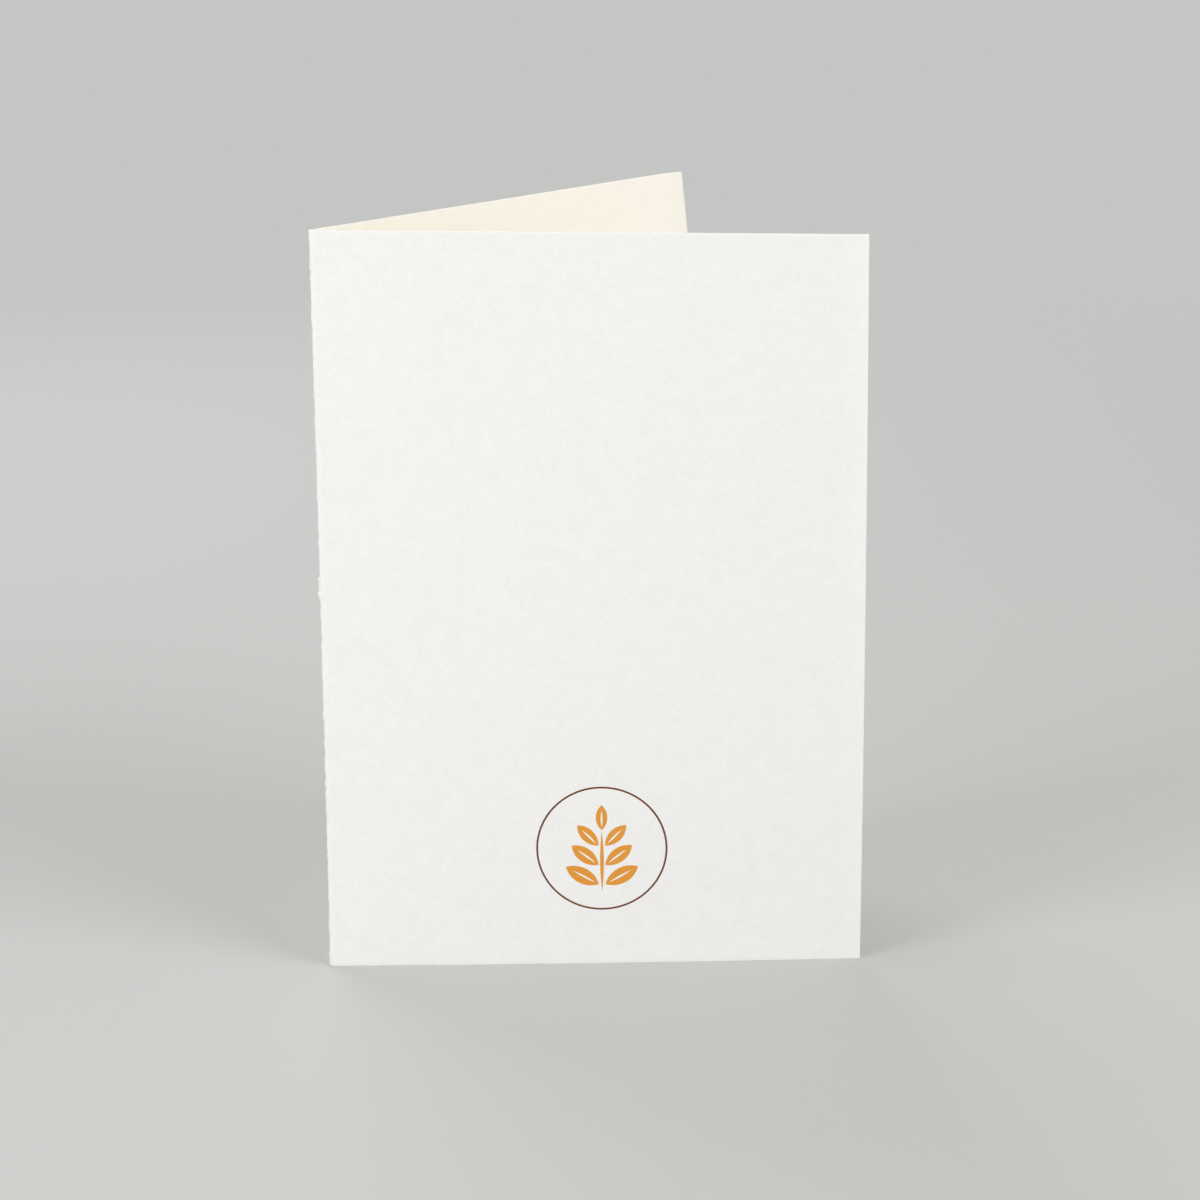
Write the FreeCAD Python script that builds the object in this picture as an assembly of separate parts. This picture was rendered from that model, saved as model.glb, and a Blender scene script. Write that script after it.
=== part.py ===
import FreeCAD, Part
import math
import os
from FreeCAD import Vector

# Greeting card: one sheet of white card, creased once and standing open as a V.
# The front leaf faces -Y and its foot runs along X. The fold stands up at the -X side, and the rear
# leaf runs back from it towards +X and +Y. All sizes are in millimetres, and all angles in degrees.

# The sheet
leaf_width = 127.0
leaf_height = 177.8
sheet_thickness = 0.35
crease_radius = 0.15

# How far the card stands open, and how each leaf turns and bends on its way up
opening_angle = 39.0
front_twist_angle = 7.0
rear_twist_angle = 7.0
front_bend_angle = 2.9
rear_twist_power = 1.5
height_stations = 7
fold_spans = 3

# The print on the front leaf: a thin ring around a sprig of leaves, pressed a little into the card
press_depth = 0.07
press_margin = 0.05
ink_thickness = 0.05
ink_clearance = 0.01
print_height = 29.4
print_off_centre = 1.6
ring_diameter = 31.2
ring_line = 0.45
sprig_drop = 10.9
stem_length = 15.2
stem_width = 0.9
leaflet_length = 9.0
leaflet_width = 3.9
leaflet_lean_angle = 60.0
leaflet_gap = 0.35
leaflet_pairs = 3
first_pair_up = 1.8
pair_spacing = 4.9
pair_shrink_share = 0.1
pair_closing_angle = 8.0
midrib_width = 0.45
midrib_start_share = 0.1
midrib_end_share = 0.78

# Worked out from the sizes above
quarter_angle = 90.0
full_angle = 360.0
fold_outer_radius = crease_radius + sheet_thickness
flat_run = leaf_width - fold_outer_radius
press_floor = fold_outer_radius - press_depth
ink_back = press_floor + ink_clearance
ink_face = ink_back + ink_thickness
print_across = leaf_width / 2 - fold_outer_radius + print_off_centre
drawing_distance = leaf_width / 4


def front_bend(height):
    """How far the front leaf turns across its width: most at the foot, none at the head."""
    return front_bend_angle * (1 - height / leaf_height)


def front_heading(height):
    """Direction in which the front leaf leaves the fold, as an angle from X at that height."""
    return -front_bend(height) / 2 - front_twist_angle * height / leaf_height


def rear_heading(height):
    """Direction in which the rear leaf leaves the fold, as an angle from X at that height."""
    return opening_angle + rear_twist_angle * (height / leaf_height) ** rear_twist_power


def along(angle, distance):
    """A step of that distance in the plane of the table."""
    return Vector(distance * math.cos(math.radians(angle)), distance * math.sin(math.radians(angle)), 0)


def leaf_line(heading, bend, side, offset, height):
    """Start, middle pole and end of a leaf's face, seen from above.

    The leaf leaves the crease at the heading and turns by the bend over its width. offset is the
    face's distance from the crease's centre, outwards: side is -1 for the front leaf and 1 for the rear.
    """
    first_half = along(heading, flat_run / 2)
    both_halves = first_half + along(heading + bend, flat_run / 2)
    poles = [
        along(heading + quarter_angle * side, offset),
        first_half + along(heading + bend / 2 + quarter_angle * side, offset),
        both_halves + along(heading + bend + quarter_angle * side, offset),
    ]
    return [pole + Vector(0, 0, height) for pole in poles]


def curve(poles):
    """One smooth edge of a leaf from its three poles."""
    bezier = Part.BezierCurve()
    bezier.setPoles(poles)
    return bezier.toShape()


def line(start, end):
    """One straight edge across the sheet's thickness."""
    return Part.LineSegment(start, end).toShape()


def fold_arcs(radius, height, from_angle, to_angle):
    """The fold's bend around the crease, from one leaf's face to the other's, in equal arcs."""
    turn = (to_angle - from_angle) / fold_spans
    arcs = []
    for span in range(fold_spans):
        angles = [from_angle + turn * (span + share) for share in (0, 0.5, 1)]
        points = [along(angle, radius) + Vector(0, 0, height) for angle in angles]
        arcs.append(Part.Arc(*points).toShape())
    return arcs


def sheet_section(height):
    """Outline of the sheet at one height, around its outside, its ends and its inside."""
    front = front_heading(height)
    rear = rear_heading(height)
    bend = front_bend(height)
    front_out = leaf_line(front, bend, -1, fold_outer_radius, height)
    front_in = leaf_line(front, bend, -1, crease_radius, height)
    rear_out = leaf_line(rear, 0, 1, fold_outer_radius, height)
    rear_in = leaf_line(rear, 0, 1, crease_radius, height)
    front_side = front - quarter_angle
    rear_side = rear + quarter_angle - full_angle
    edges = [curve(front_out), line(front_out[-1], front_in[-1]), curve(front_in[::-1])]
    edges += fold_arcs(crease_radius, height, front_side, rear_side)
    edges += [curve(rear_in), line(rear_in[-1], rear_out[-1]), curve(rear_out[::-1])]
    edges += fold_arcs(fold_outer_radius, height, rear_side, front_side)
    return Part.Wire(edges)


def skin_section(back_offset, face_offset, height):
    """Outline of a skin along the front leaf, between two distances from the crease's centre."""
    heading = front_heading(height)
    bend = front_bend(height)
    face = leaf_line(heading, bend, -1, face_offset, height)
    back = leaf_line(heading, bend, -1, back_offset, height)
    edges = [curve(face), line(face[-1], back[-1]), curve(back[::-1]), line(back[0], face[0])]
    return Part.Wire(edges)


def through_heights(section):
    """Solid through one section at each station from the foot to the head."""
    heights = [leaf_height * station / (height_stations - 1) for station in range(height_stations)]
    return Part.makeLoft([section(height) for height in heights], True, False)


def print_point(across, up):
    """A point of the print from its centre, on the flat drawing that stands in front of the leaf."""
    return Vector(print_across + across, -drawing_distance, print_height + up)


def pointed_leaflet(foot_across, foot_up, lean, length, width):
    """Outline of a leaflet: two arcs that meet in a point at each end."""
    lean_across = math.sin(math.radians(lean))
    lean_up = math.cos(math.radians(lean))

    def place(out, to_side):
        across = foot_across + lean_across * out + lean_up * to_side
        up = foot_up + lean_up * out - lean_across * to_side
        return print_point(across, up)

    foot = place(0, 0)
    tip = place(length, 0)
    one_side = Part.Arc(foot, place(length / 2, width / 2), tip).toShape()
    other_side = Part.Arc(tip, place(length / 2, -width / 2), foot).toShape()
    return Part.Face(Part.Wire([one_side, other_side]))


def leaflet_blade(foot_across, foot_up, lean, size, margin):
    """A leaflet's full outline, wider by the margin all round."""
    start_across = foot_across - margin * math.sin(math.radians(lean))
    start_up = foot_up - margin * math.cos(math.radians(lean))
    length = leaflet_length * size + 2 * margin
    width = leaflet_width * size + 2 * margin
    return pointed_leaflet(start_across, start_up, lean, length, width)


def leaflet_slit(foot_across, foot_up, lean, size):
    """The bare slit down a leaflet for its midrib."""
    length = leaflet_length * size
    slit_across = foot_across + midrib_start_share * length * math.sin(math.radians(lean))
    slit_up = foot_up + midrib_start_share * length * math.cos(math.radians(lean))
    slit_length = (midrib_end_share - midrib_start_share) * length
    return pointed_leaflet(slit_across, slit_up, lean, slit_length, midrib_width)


def leaflet_places():
    """Where each leaflet starts, how far it leans from upright, and its size."""
    top_foot = stem_length + leaflet_gap - sprig_drop
    places = [(0, top_foot, 0, 1 - pair_shrink_share * leaflet_pairs)]
    for pair in range(leaflet_pairs):
        foot_up = first_pair_up + pair_spacing * pair - sprig_drop
        lean = leaflet_lean_angle - pair_closing_angle * pair
        for side in (-1, 1):
            foot_across = side * (stem_width / 2 + leaflet_gap)
            places.append((foot_across, foot_up, side * lean, 1 - pair_shrink_share * pair))
    return places


def flat_ring(margin):
    """The thin ring, flat and wider by the margin on both sides."""
    outer = Part.Circle(print_point(0, 0), Vector(0, 1, 0), ring_diameter / 2 + margin)
    inner = Part.Circle(print_point(0, 0), Vector(0, 1, 0), ring_diameter / 2 - ring_line - margin)
    return Part.Face(Part.Wire(outer.toShape())).cut(Part.Face(Part.Wire(inner.toShape())))


def flat_stem(margin):
    """The sprig's stem, pointed at both ends, flat and wider by the margin all round."""
    return pointed_leaflet(0, -sprig_drop - margin, 0, stem_length + 2 * margin, stem_width + 2 * margin)


def along_leaf(flat_shapes, back_offset, face_offset):
    """A flat drawing pushed through a skin that lies along the front leaf."""
    skin = through_heights(lambda height: skin_section(back_offset, face_offset, height))
    prisms = Part.makeCompound(flat_shapes).extrude(Vector(0, 2 * drawing_distance, 0))
    return prisms.common(skin)


leaflets = leaflet_places()
pressed_shapes = [flat_ring(press_margin), flat_stem(press_margin)]
pressed_shapes += [leaflet_blade(*place, press_margin) for place in leaflets]
inked_leaflets = [leaflet_blade(*place, 0).cut(leaflet_slit(*place)) for place in leaflets]

pressing = along_leaf(pressed_shapes, press_floor, fold_outer_radius + press_depth)
card = through_heights(sheet_section).cut(pressing)
ring = along_leaf([flat_ring(0)], ink_back, ink_face)
sprig = along_leaf([flat_stem(0)] + inked_leaflets, ink_back, ink_face)

# The origin is on the table, under the middle of the card's box
box = card.optimalBoundingBox()
to_origin = Vector(-box.Center.x, -box.Center.y, 0)

os.makedirs("parts", exist_ok=True)
for node, shape in (("folded_card", card), ("printed_ring", ring), ("printed_sprig", sprig)):
    shape.translate(to_origin)
    shape.exportStep("parts/" + node + ".step")
    print(node, "solids", len(shape.Solids), "volume", round(shape.Volume, 3), "valid", shape.isValid())
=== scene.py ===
import math

import bmesh
import bpy
from mathutils import Matrix, Vector, noise


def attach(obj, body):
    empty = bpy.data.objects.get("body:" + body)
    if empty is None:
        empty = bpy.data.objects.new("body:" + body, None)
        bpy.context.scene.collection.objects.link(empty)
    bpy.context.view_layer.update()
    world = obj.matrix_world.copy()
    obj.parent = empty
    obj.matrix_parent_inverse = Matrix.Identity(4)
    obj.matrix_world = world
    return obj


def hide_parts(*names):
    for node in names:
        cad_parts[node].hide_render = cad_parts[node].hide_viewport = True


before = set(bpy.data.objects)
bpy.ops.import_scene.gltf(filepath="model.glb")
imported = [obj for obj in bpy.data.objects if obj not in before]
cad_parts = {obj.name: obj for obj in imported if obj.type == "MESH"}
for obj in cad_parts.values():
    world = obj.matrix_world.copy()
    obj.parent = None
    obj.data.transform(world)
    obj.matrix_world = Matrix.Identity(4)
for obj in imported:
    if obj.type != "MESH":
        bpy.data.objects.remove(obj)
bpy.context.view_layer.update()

# The card
# One sheet of heavy uncoated card, white on its outside and creamier on its inside. It is cut flat,
# creased down its middle and folded, and it stands on its lower edges, open as a V.
leaf_width = 0.127
leaf_height = 0.1778
sheet_thickness = 0.00035
crease_radius = 0.00015
crease_place = Vector((-0.062986, -0.037716, 0))

# How far the card stands open, and how each leaf turns and bends on its way up, in degrees
opening_angle = 39
twist_angle = 7
front_bend_angle = 2.9
rear_twist_power = 1.5

# Worked out from those sizes: the fold's radius and half its length, both in the middle of the card's
# thickness, how far each leaf runs from it, and half the width of the sheet
middle_radius = crease_radius + sheet_thickness / 2
fold_half = middle_radius * math.radians(180 - opening_angle) / 2
flat_run = leaf_width - crease_radius - sheet_thickness
sheet_half = flat_run + fold_half


def along(angle, distance):
    """A step of that distance across the table, at that angle from X."""
    return Vector((math.cos(math.radians(angle)), math.sin(math.radians(angle)), 0)) * distance


def leaf_point(heading, bend, side, offset, run):
    """A point of a leaf, seen from above, from the crease's axis: side is -1 in front and 1 behind.

    The leaf leaves the crease at the heading and turns by the bend over its width. The point lies at
    that run along the leaf, and at that offset from it, outwards.
    """
    first_half = along(heading, flat_run / 2)
    both_halves = first_half + along(heading + bend, flat_run / 2)
    start = along(heading + 90 * side, offset)
    middle = first_half + along(heading + bend / 2 + 90 * side, offset)
    end = both_halves + along(heading + bend + 90 * side, offset)
    share = run / flat_run
    return start * (1 - share) ** 2 + middle * 2 * share * (1 - share) + end * share ** 2


# Card never lies quite flat: past the fold, each leaf is a little wavy. The waves, the cracks of the
# fold and its flecks are each read from a layer of the noise of their own.
wave_depth = 0.0001
wave_length = 0.065
wave_start = 0.015
wave_layer = 3.7


def wave(across, up):
    """How far the leaf stands out of its plain curve there."""
    height = noise.noise(Vector((across / wave_length, up / wave_length, wave_layer)))
    return height * wave_depth * min(abs(across) / wave_start, 1)


# The outside has cracked along the fold and is rough there. About halfway up, a strip of fibre has
# torn and stands off the fold, with a point near each of its ends.
ridge_centre = -0.0001
ridge_reach = 0.00035
ridge_depth = 0.00023
ridge_grain_across, ridge_grain_up = 0.0004, 0.0021
ridge_roughness, ridge_step, ridge_octaves = 0.6, 2, 4
ridge_layer = 9.1
strip_reach = 0.00017
strip_foot, strip_foot_taper = 0.0902, 0.0017
strip_head, strip_head_taper = 0.0963, 0.0005
strip_lift = 0.00026
lower_point, lower_point_half, lower_point_lift = 0.0924, 0.00045, 0.0003
upper_point, upper_point_half, upper_point_lift = 0.0957, 0.00038, 0.00034
upper_point_power = 1.5


def torn_strip(up):
    """How far the torn strip stands off the fold at that height."""
    foot_share = min(max((up - strip_foot) / strip_foot_taper, 0), 1)
    head_share = min(max((strip_head - up) / strip_head_taper, 0), 1)
    lower_share = max(0, 1 - abs(up - lower_point) / lower_point_half)
    upper_share = max(0, 1 - abs(up - upper_point) / upper_point_half) ** upper_point_power
    points = lower_point_lift * lower_share + upper_point_lift * upper_share
    return strip_lift * foot_share * head_share + points


def cracked_ridge(across, up):
    """How far the cracked outside and the torn strip stand up there."""
    from_ridge = across - ridge_centre
    grain_place = Vector((across / ridge_grain_across, up / ridge_grain_up, ridge_layer))
    crack = noise.fractal(grain_place, ridge_roughness, ridge_step, ridge_octaves)
    crack *= ridge_depth * math.exp(-(from_ridge / ridge_reach) ** 2)
    return crack + torn_strip(up) * math.exp(-(from_ridge / strip_reach) ** 2)


# The fold stands out further than a sharp crease would, and bows in between its foot and its head
fold_fullness = 0.00039
fold_bow = 0.00022
fold_reach = 0.018


def fold_push(across, level):
    """How far the sheet near the fold is pushed in between the leaves: below zero, it stands out."""
    push = fold_bow * 4 * level * (1 - level) - fold_fullness
    return push * math.exp(-abs(across) / fold_reach)


def folded(flat):
    """Where a place on the flat sheet goes, once the card is folded and stands on the table.

    The place is given across from the crease, positive on the front leaf, up from the foot, and out
    from the middle of the card's thickness.
    """
    across, up, out = flat
    level = up / leaf_height
    bend = front_bend_angle * (1 - level)
    front = -bend / 2 - twist_angle * level
    rear = opening_angle + twist_angle * max(level, 0) ** rear_twist_power
    outside_share = min(max(out / sheet_thickness + 0.5, 0), 1)
    offset = middle_radius + out + wave(across, up) + cracked_ridge(across, up) * outside_share
    if across > fold_half:
        place = leaf_point(front, bend, -1, offset, across - fold_half)
    elif across < -fold_half:
        place = leaf_point(rear, 0, 1, offset, -across - fold_half)
    else:
        front_side = front - 90
        rear_side = rear + 90 - 360
        share = (fold_half - across) / (2 * fold_half)
        place = along(front_side + (rear_side - front_side) * share, offset)
    place += along((front + rear) / 2, fold_push(across, level))
    place.z = up
    return place + crease_place


# The flat sheet starts as a grid. Its columns crowd towards the fold, and its rows are split again
# where the strip has torn.
half_columns = 48
rows = 296
column_power = 2.5
column_spread = 0.02
torn_from, torn_to = 0.087, 0.099

sheet = bmesh.new()
bmesh.ops.create_grid(sheet, x_segments=2 * half_columns, y_segments=rows, size=1)
for vert in sheet.verts:
    share = abs(vert.co.x)
    crowded_share = column_spread * share + (1 - column_spread) * share ** column_power
    vert.co.x = math.copysign(crowded_share * sheet_half, vert.co.x)
    vert.co.y = (vert.co.y + 1) / 2 * leaf_height
torn_edges = []
for edge in sheet.edges:
    one_end, other_end = (vert.co for vert in edge.verts)
    if one_end.x == other_end.x and torn_from < (one_end.y + other_end.y) / 2 < torn_to:
        torn_edges.append(edge)
bmesh.ops.subdivide_edges(sheet, edges=torn_edges, cuts=2, use_grid_fill=True)

# It gets the card's thickness, and the rims that the knife leaves are eased
rim_ease = 0.00004
flat_tilt = 0.99

outside = bmesh.ops.extrude_face_region(sheet, geom=sheet.faces[:], use_keep_orig=True)
outside_verts = {item for item in outside["geom"] if isinstance(item, bmesh.types.BMVert)}
for vert in sheet.verts:
    vert.co.z = sheet_thickness / 2 if vert in outside_verts else -sheet_thickness / 2
cut_edges = [edge for edge in sheet.edges if edge.verts[0].co.z != edge.verts[1].co.z]
bmesh.ops.subdivide_edges(sheet, edges=cut_edges, cuts=2)
bmesh.ops.recalc_face_normals(sheet, faces=sheet.faces[:])
rim_edges = []
for edge in sheet.edges:
    flat_faces = [face for face in edge.link_faces if abs(face.normal.z) > flat_tilt]
    if len(flat_faces) == 1:
        rim_edges.append(edge)
bmesh.ops.bevel(
    sheet, geom=rim_edges, offset=rim_ease, segments=2, profile=0.5, affect="EDGES", material=-1
)

# Its faces take one of three finishes: the outside's, the inside's and the cut's
outside_finish, inside_finish, cut_finish = 0, 1, 2
sheet.normal_update()
for face in sheet.faces:
    face.smooth = abs(face.normal.z) > flat_tilt
    if not face.smooth:
        face.material_index = cut_finish
    elif face.normal.z > 0:
        face.material_index = outside_finish
    else:
        face.material_index = inside_finish

# Wear: broken fibres show along the fold, the cut is fibrous, and the foot of the fold and the rear
# leaf's top outer corner are blunted. No fibre of the cut reaches below the foot.
crack_reach = 0.0008
crack_grain_across, crack_grain_up = 0.0006, 0.0016
crack_layer = 5.3
cut_grain = 0.0003
cut_grain_depth = 0.00003
cut_grain_thinning = 0.3
cut_grain_seed = 4
foot_band = 0.001
foot_wear, foot_wear_reach = 0.00022, 0.0004
corner_wear, corner_wear_reach = 0.00027, 0.00045

noise.seed_set(cut_grain_seed)
fold_wear = sheet.verts.layers.float.new("fold_wear")
for vert in sheet.verts:
    fleck_place = Vector((vert.co.x / crack_grain_across, vert.co.y / crack_grain_up, crack_layer))
    crack_share = math.exp(-((vert.co.x - ridge_centre) / crack_reach) ** 2)
    vert[fold_wear] = (0.5 + 0.5 * noise.noise(fleck_place)) * crack_share
    if any(face.material_index == cut_finish for face in vert.link_faces):
        grain = noise.noise_vector(vert.co / cut_grain) * cut_grain_depth
        if vert.co.y < foot_band:
            grain.y = max(grain.y, 0)
        grain.z *= cut_grain_thinning
        vert.co += grain
    foot_share = math.exp(-(vert.co.x / foot_wear_reach) ** 2 - vert.co.y / foot_wear_reach)
    vert.co.y += foot_wear * foot_share
    from_corner = Vector((vert.co.x + sheet_half, leaf_height - vert.co.y)).length
    corner_share = math.exp(-(from_corner / corner_wear_reach) ** 2)
    vert.co += Vector((1, -1, 0)) * corner_wear * corner_share
for vert in sheet.verts:
    vert.co = folded(vert.co)


def finished_piece(name, made):
    """Puts a finished mesh in the scene as a piece of that name."""
    mesh = bpy.data.meshes.new(name)
    made.to_mesh(mesh)
    made.free()
    piece = bpy.data.objects.new(name, mesh)
    bpy.context.scene.collection.objects.link(piece)
    return piece


card = finished_piece("card_sheet", sheet)
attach(card, "root")
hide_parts("folded_card")

# Its finish is matt, with a fine tooth, faint clouds in the pulp, and fibres that lie level and show
# only from close by. The grains are turned, so that their rows don't run along the leaves.
white_light, white_shade = (0.915, 0.912, 0.903), (0.84, 0.837, 0.828)
cream_light, cream_shade = (0.93, 0.897, 0.81), (0.875, 0.84, 0.755)
core_light, core_shade = (0.95, 0.945, 0.93), (0.86, 0.855, 0.84)
broken_white, broken_cream = (0.96, 0.957, 0.95), (0.94, 0.92, 0.86)
tooth_size = 0.0006
cloud_size = 0.004
cloud_share = 0.32
fibre_size = 0.00009
fibre_stretch = (0.22, 0.22, 1)
face_tooth_depth = 0.000035
cut_tooth_depth = 0.00008
fibre_depth_share = 0.2
bump_strength = 0.5
pulp_detail, fibre_detail = 3, 2
grain_turn = (0.6, 0.4, 0.3)
grain_roughness = 0.6
shade_up_to, light_from = 0.3, 0.7
card_roughness, card_gloss = 0.65, 0.3


def bare_finish(name):
    """A new finish of that name, with its nodes, its links and its shader."""
    finish = bpy.data.materials.new(name)
    finish.use_nodes = True
    nodes = finish.node_tree.nodes
    return finish, nodes, finish.node_tree.links, nodes["Principled BSDF"]


def pulp_grain(nodes, links, size, detail, stretch=(1, 1, 1)):
    """Grains of about that size, in metres, that are fixed to the piece."""
    place = nodes.new("ShaderNodeTexCoord")
    turned = nodes.new("ShaderNodeMapping")
    turned.inputs["Scale"].default_value = stretch
    turned.inputs["Rotation"].default_value = grain_turn
    grain = nodes.new("ShaderNodeTexNoise")
    grain.inputs["Scale"].default_value = 1 / size
    grain.inputs["Detail"].default_value = detail
    grain.inputs["Roughness"].default_value = grain_roughness
    links.new(place.outputs["Object"], turned.inputs["Vector"])
    links.new(turned.outputs["Vector"], grain.inputs["Vector"])
    return grain.outputs["Fac"]


def toned(nodes, links, grain, shade, light):
    """Colour that goes from the shade to the light as the grain rises."""
    ramp = nodes.new("ShaderNodeValToRGB")
    shade_stop, light_stop = ramp.color_ramp.elements
    shade_stop.position = shade_up_to
    light_stop.position = light_from
    shade_stop.color = (*shade, 1)
    light_stop.color = (*light, 1)
    links.new(grain, ramp.inputs["Fac"])
    return ramp.outputs["Color"]


def raised(nodes, links, grain, depth):
    """A relief of that depth, in metres, that follows the grain."""
    relief = nodes.new("ShaderNodeBump")
    relief.inputs["Strength"].default_value = bump_strength
    relief.inputs["Distance"].default_value = depth
    links.new(grain, relief.inputs["Height"])
    return relief


def card_finish(name, light, shade, broken, tooth_depth):
    """One of the card's finishes. Where the fold has cracked, the broken fibres show whiter."""
    finish, nodes, links, shader = bare_finish(name)
    tooth = pulp_grain(nodes, links, tooth_size, pulp_detail)
    cloud = pulp_grain(nodes, links, cloud_size, pulp_detail)
    pulp = nodes.new("ShaderNodeMix")
    pulp.data_type = "RGBA"
    pulp.inputs["Factor"].default_value = cloud_share
    links.new(toned(nodes, links, tooth, shade, light), pulp.inputs["A"])
    links.new(toned(nodes, links, cloud, shade, light), pulp.inputs["B"])
    wear = nodes.new("ShaderNodeAttribute")
    wear.attribute_name = "fold_wear"
    worn = nodes.new("ShaderNodeMix")
    worn.data_type = "RGBA"
    worn.inputs["B"].default_value = (*broken, 1)
    links.new(wear.outputs["Fac"], worn.inputs["Factor"])
    links.new(pulp.outputs["Result"], worn.inputs["A"])
    links.new(worn.outputs["Result"], shader.inputs["Base Color"])
    fibre = pulp_grain(nodes, links, fibre_size, fibre_detail, fibre_stretch)
    tooth_relief = raised(nodes, links, tooth, tooth_depth)
    fibre_relief = raised(nodes, links, fibre, tooth_depth * fibre_depth_share)
    links.new(tooth_relief.outputs["Normal"], fibre_relief.inputs["Normal"])
    links.new(fibre_relief.outputs["Normal"], shader.inputs["Normal"])
    shader.inputs["Roughness"].default_value = card_roughness
    shader.inputs["Specular IOR Level"].default_value = card_gloss
    return finish


# In the order of the outside, the inside and the cut
sheet_finishes = (
    ("smooth_white_face", white_light, white_shade, broken_white, face_tooth_depth),
    ("cream_inside_face", cream_light, cream_shade, broken_cream, face_tooth_depth),
    ("cut_card_edge", core_light, core_shade, broken_white, cut_tooth_depth),
)
for sheet_finish in sheet_finishes:
    card.data.materials.append(card_finish(*sheet_finish))

# The printed ring
# A thin brown line, low on the front leaf and a little to the right of its middle. It is a film of
# printing ink with hardly any height, put on while the sheet was flat.
print_across = 0.06465 + fold_half
print_up = 0.0294
ring_radius = 0.0156
ring_line = 0.00045
ring_spans = 192
film_proud = 0.000012
film_sunk = 0.00003


def lay_on_leaf(drawing):
    """Gives a flat drawing the film's thickness and lays it on the front leaf, to bend with it."""
    face = bmesh.ops.extrude_face_region(drawing, geom=drawing.faces[:], use_keep_orig=True)
    face_verts = {item for item in face["geom"] if isinstance(item, bmesh.types.BMVert)}
    for vert in drawing.verts:
        vert.co.x += print_across
        vert.co.y += print_up
        vert.co.z = sheet_thickness / 2 + (film_proud if vert in face_verts else -film_sunk)
    bmesh.ops.recalc_face_normals(drawing, faces=drawing.faces[:])
    for vert in drawing.verts:
        vert.co = folded(vert.co)


ring = bmesh.new()
for radius in (ring_radius, ring_radius - ring_line):
    bmesh.ops.create_circle(ring, cap_ends=False, segments=ring_spans, radius=radius)
bmesh.ops.bridge_loops(ring, edges=ring.edges[:])
lay_on_leaf(ring)
ink_ring = finished_piece("ink_ring", ring)
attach(ink_ring, "root")
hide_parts("printed_ring")

brown_light, brown_shade = (0.185, 0.05, 0.016), (0.145, 0.038, 0.011)
ink_mottle_size = 0.0004
ink_roughness, ink_gloss = 0.55, 0.25


def ink_finish(name, light, shade):
    """Matt printing ink, a little uneven where the card's tooth shows through."""
    finish, nodes, links, shader = bare_finish(name)
    mottle = pulp_grain(nodes, links, ink_mottle_size, pulp_detail)
    links.new(toned(nodes, links, mottle, shade, light), shader.inputs["Base Color"])
    shader.inputs["Roughness"].default_value = ink_roughness
    shader.inputs["Specular IOR Level"].default_value = ink_gloss
    return finish


ink_ring.data.materials.append(ink_finish("brown_line_ink", brown_light, brown_shade))

# The printed sprig
# A pointed stem with three pairs of leaflets and one at the top, inside the ring. It is printed with
# it, in one flat orange ink, and each leaflet has a bare slit for its midrib.
sprig_drop = 0.0109
stem_length = 0.0152
stem_width = 0.0009
leaflet_length = 0.009
leaflet_width = 0.0039
leaflet_gap = 0.00035
leaflet_pairs = 3
first_pair_up = 0.0018
pair_spacing = 0.0049
pair_shrink = 0.1
lean_angle = 60
pair_closing_angle = 8
midrib_width = 0.00045
midrib_start, midrib_end = 0.1, 0.78
blade_columns, blade_rows = 3, 26
point_merge, sliver = 0.000004, 0.000001


def pointed_half_width(share, length, width):
    """Half the width of a shape between two arcs, which meet in points, at a share of its length."""
    radius = (length ** 2 + width ** 2) / (4 * width)
    from_middle = (share - 0.5) * length
    return math.sqrt(max(radius ** 2 - from_middle ** 2, 0)) - (radius - width / 2)


def add_blade(drawing, foot_across, foot_up, lean, length, width, slit_width=0):
    """A pointed blade in two halves. They part where it has a slit, and meet everywhere else."""
    turn = Matrix.Translation((foot_across, foot_up, 0)) @ Matrix.Rotation(-math.radians(lean), 4, "Z")
    slit_length = length * (midrib_end - midrib_start)
    for side in (-1, 1):
        half = bmesh.ops.create_grid(drawing, x_segments=blade_columns, y_segments=blade_rows, size=0.5)
        for vert in half["verts"]:
            share = vert.co.y + 0.5
            slit_share = (share - midrib_start) / (midrib_end - midrib_start)
            outer_edge = pointed_half_width(share, length, width)
            slit_edge = 0
            if slit_width and 0 < slit_share < 1:
                slit_edge = pointed_half_width(slit_share, slit_length, slit_width)
            across = slit_edge + (vert.co.x + 0.5) * (outer_edge - slit_edge)
            vert.co = turn @ Vector((side * across, share * length, 0))


def add_leaflet(drawing, foot_across, foot_up, lean, size):
    """A leaflet that leans by that angle from upright, with its slit."""
    length, width = leaflet_length * size, leaflet_width * size
    add_blade(drawing, foot_across, foot_up, lean, length, width, midrib_width)


sprig = bmesh.new()
add_blade(sprig, 0, -sprig_drop, 0, stem_length, stem_width)
add_leaflet(sprig, 0, stem_length + leaflet_gap - sprig_drop, 0, 1 - pair_shrink * leaflet_pairs)
for pair in range(leaflet_pairs):
    foot_across = stem_width / 2 + leaflet_gap
    foot_up = first_pair_up + pair_spacing * pair - sprig_drop
    lean = lean_angle - pair_closing_angle * pair
    for side in (-1, 1):
        add_leaflet(sprig, side * foot_across, foot_up, side * lean, 1 - pair_shrink * pair)
bmesh.ops.remove_doubles(sprig, verts=sprig.verts[:], dist=point_merge)
bmesh.ops.dissolve_degenerate(sprig, edges=sprig.edges[:], dist=sliver)
lay_on_leaf(sprig)
ink_sprig = finished_piece("ink_sprig", sprig)
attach(ink_sprig, "root")
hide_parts("printed_sprig")

orange_light, orange_shade = (0.8, 0.34, 0.046), (0.72, 0.295, 0.034)
ink_sprig.data.materials.append(ink_finish("orange_fill_ink", orange_light, orange_shade))

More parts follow.
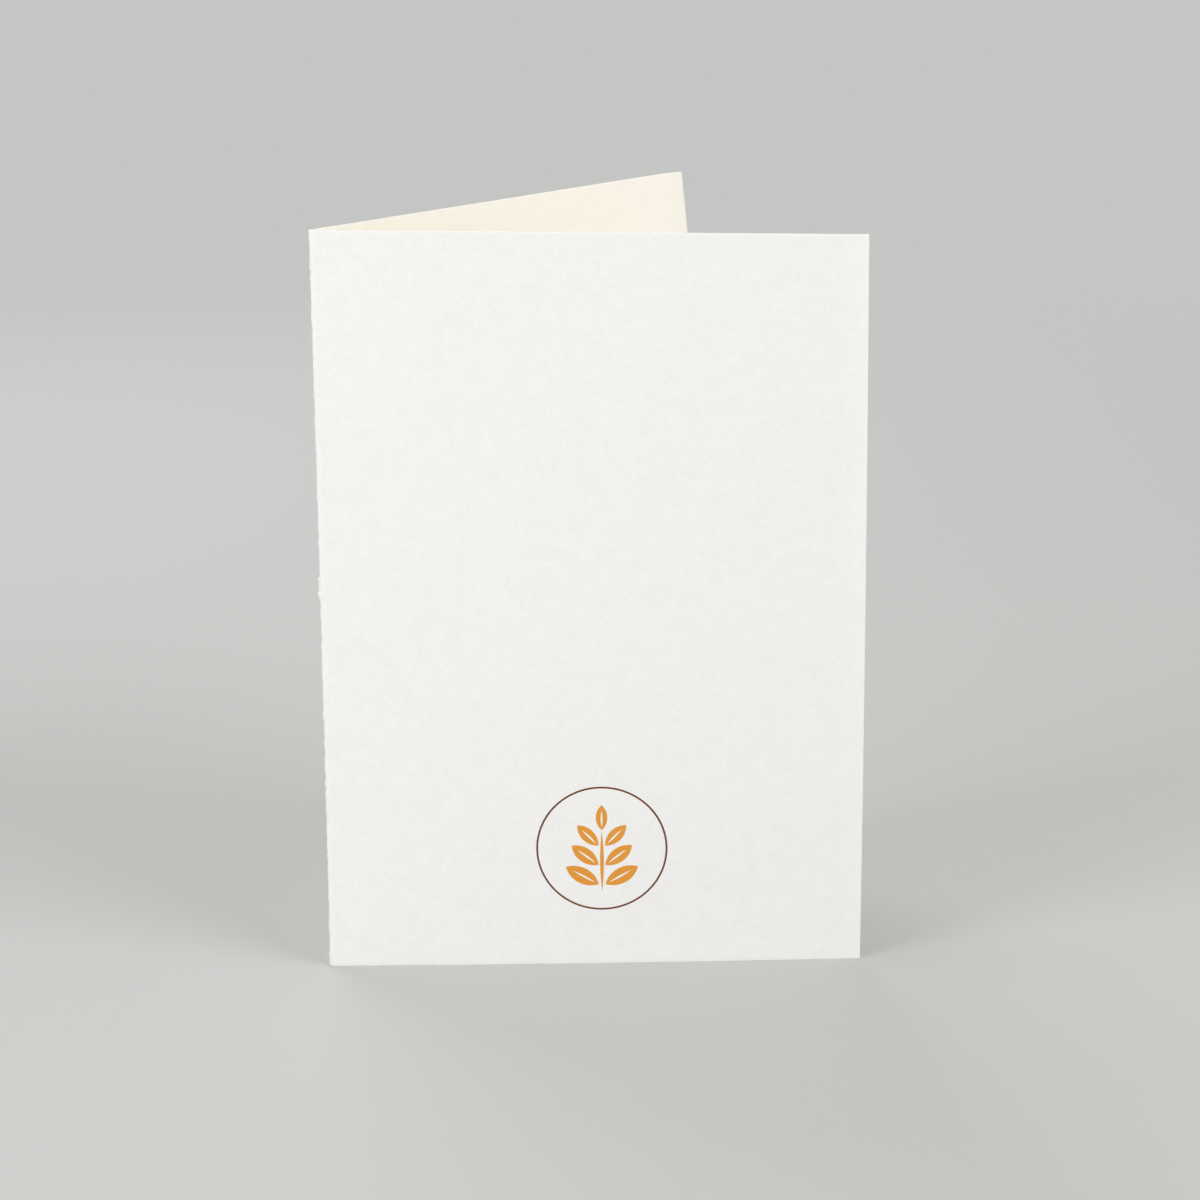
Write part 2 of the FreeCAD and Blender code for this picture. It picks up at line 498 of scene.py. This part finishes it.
# The table
# A round floor in one pale matt grey. Away from the card it fades into the tone of the backdrop, so
# that it has no far edge.
floor_radius = 4
floor_spans = 64
floor_grey = (0.55, 0.55, 0.545, 1)
backdrop_grey = (0.56, 0.56, 0.553, 1)
fade_from, fade_to = 0.15, 1

disc = bmesh.new()
bmesh.ops.create_circle(disc, cap_ends=True, segments=floor_spans, radius=floor_radius)
floor = finished_piece("floor", disc)


def seen_share(nodes, links):
    """1 where the camera or a reflection sees the surface, and 0 where it only passes light on."""
    path = nodes.new("ShaderNodeLightPath")
    seen = nodes.new("ShaderNodeMath")
    seen.operation = "MAXIMUM"
    links.new(path.outputs["Is Camera Ray"], seen.inputs[0])
    links.new(path.outputs["Is Glossy Ray"], seen.inputs[1])
    return seen.outputs["Value"]


floor_finish, floor_nodes, floor_links, floor_shader = bare_finish("pale_floor")
floor_shader.inputs["Base Color"].default_value = floor_grey
floor_shader.inputs["Roughness"].default_value = 1
floor_shader.inputs["Specular IOR Level"].default_value = 0
from_card = floor_nodes.new("ShaderNodeVectorMath")
from_card.operation = "LENGTH"
floor_place = floor_nodes.new("ShaderNodeTexCoord")
floor_links.new(floor_place.outputs["Object"], from_card.inputs[0])
fade = floor_nodes.new("ShaderNodeMapRange")
fade.interpolation_type = "SMOOTHSTEP"
fade.inputs["From Min"].default_value = fade_from
fade.inputs["From Max"].default_value = fade_to
floor_links.new(from_card.outputs["Value"], fade.inputs["Value"])
fade_share = floor_nodes.new("ShaderNodeMath")
fade_share.operation = "MULTIPLY"
floor_links.new(fade.outputs["Result"], fade_share.inputs[0])
floor_links.new(seen_share(floor_nodes, floor_links), fade_share.inputs[1])
far_tone = floor_nodes.new("ShaderNodeEmission")
far_tone.inputs["Color"].default_value = backdrop_grey
faded = floor_nodes.new("ShaderNodeMixShader")
floor_links.new(fade_share.outputs["Value"], faded.inputs["Fac"])
floor_links.new(floor_shader.outputs["BSDF"], faded.inputs[1])
floor_links.new(far_tone.outputs["Emission"], faded.inputs[2])
floor_links.new(faded.outputs["Shader"], floor_nodes["Material Output"].inputs["Surface"])
floor.data.materials.append(floor_finish)

# The light
# An even room with three broad soft lamps: one at each side in front of the card, and one behind it.
# Where the camera or a reflection sees the room, it shows the backdrop's plain tone.
room_light = (0.64, 0.635, 0.62, 1)
room_strength = 0.87
lamp_aim = Vector((0, 0, 0.09))

room = bpy.data.worlds.new("room")
room.use_nodes = True
room_nodes, room_links = room.node_tree.nodes, room.node_tree.links
room_nodes["Background"].inputs["Color"].default_value = room_light
room_nodes["Background"].inputs["Strength"].default_value = room_strength
backdrop = room_nodes.new("ShaderNodeBackground")
backdrop.inputs["Color"].default_value = backdrop_grey
surroundings = room_nodes.new("ShaderNodeMixShader")
room_links.new(seen_share(room_nodes, room_links), surroundings.inputs["Fac"])
room_links.new(room_nodes["Background"].outputs["Background"], surroundings.inputs[1])
room_links.new(backdrop.outputs["Background"], surroundings.inputs[2])
room_links.new(surroundings.outputs["Shader"], room_nodes["World Output"].inputs["Surface"])
bpy.context.scene.world = room

# Each lamp's place, its width and its power in watts
lamps = {
    "left_lamp": (Vector((-0.7, -0.62, 0.48)), 0.5, 3.7),
    "right_lamp": (Vector((0.84, -0.6, 0.6)), 0.8, 7),
    "rear_lamp": (Vector((-0.5, 1, 0.55)), 0.9, 7.4),
}
for name, (place, width, power) in lamps.items():
    light = bpy.data.lights.new(name, "AREA")
    light.shape = "SQUARE"
    light.size = width
    light.energy = power
    lamp = bpy.data.objects.new(name, light)
    lamp.location = place
    lamp.rotation_mode = "QUATERNION"
    lamp.rotation_quaternion = (lamp_aim - place).to_track_quat("-Z", "Y")
    lamp.visible_camera = False
    bpy.context.scene.collection.objects.link(lamp)

# The camera
# It stands in front of the card, higher than its head, and looks a little down on it. Its turn to
# the right, its tilt down and its roll are in degrees.
camera_place = (-0.01144, -0.85333, 0.30273)
camera_turn, camera_tilt, camera_roll = 0.925, 14.629, -0.509
sensor_width, lens_length = 36, 108
nearest_seen, furthest_seen = 0.01, 50

view = bpy.data.cameras.new("camera")
view.sensor_width = sensor_width
view.lens = lens_length
view.clip_start, view.clip_end = nearest_seen, furthest_seen
camera = bpy.data.objects.new("camera", view)
camera.matrix_world = (
    Matrix.Translation(camera_place)
    @ Matrix.Rotation(-math.radians(camera_turn), 4, "Z")
    @ Matrix.Rotation(math.radians(90 - camera_tilt), 4, "X")
    @ Matrix.Rotation(math.radians(camera_roll), 4, "Z")
)
bpy.context.scene.collection.objects.link(camera)
bpy.context.scene.camera = camera
bpy.context.scene.view_settings.view_transform = "Standard"
